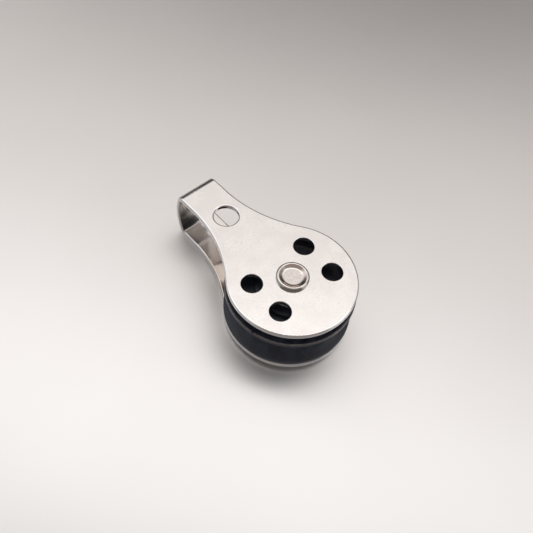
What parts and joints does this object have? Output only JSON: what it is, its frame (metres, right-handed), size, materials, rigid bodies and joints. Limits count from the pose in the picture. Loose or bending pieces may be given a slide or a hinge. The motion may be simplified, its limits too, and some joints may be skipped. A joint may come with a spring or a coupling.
{
  "type": "single sheave block",
  "caption": "Small riveted stainless steel pulley block: a folded strap with round cheeks and an eye in its neck carries a black grooved sheave on a rivet axle.",
  "frame": {"origin": "centre of the sheave, on the axle's axis; the sheave lies 0.7 mm below midway between the cheeks, because the block rests on its side and the sheave has slid down its axle", "axes": "+Z along the axle towards the dished rivet head, +Y from the sheave to the folded head of the strap, +X to the right"},
  "size_m": [0.0304, 0.0511, 0.0167],
  "materials": {
    "strap_steel": "satin stainless steel with fine scratches",
    "rivet_steel": "polished stainless steel, slightly worn",
    "sleeve_steel": "turned stainless steel",
    "sheave_nylon": "moulded black nylon with a slight sheen",
    "washer_plastic": "natural acetal"
  },
  "bodies": {
    "frame": {"strap": "strap_steel", "rivet_axle": "rivet_steel", "axle_sleeve": "sleeve_steel"},
    "sheave": {"sheave": "sheave_nylon"},
    "upper_washer": {"thrust_washer_upper": "washer_plastic"},
    "lower_washer": {"thrust_washer_lower": "washer_plastic"}
  },
  "joints": [
    {"name": "sheave_spin", "type": "hinge", "parent": "frame", "child": "sheave", "pos_m": [0, 0, 0], "axis": [0, 0, 1], "continuous": true},
    {"name": "upper_washer_spin", "type": "hinge", "parent": "frame", "child": "upper_washer", "pos_m": [0, 0, 0], "axis": [0, 0, 1], "continuous": true},
    {"name": "lower_washer_spin", "type": "hinge", "parent": "frame", "child": "lower_washer", "pos_m": [0, 0, 0], "axis": [0, 0, 1], "continuous": true}
  ]
}
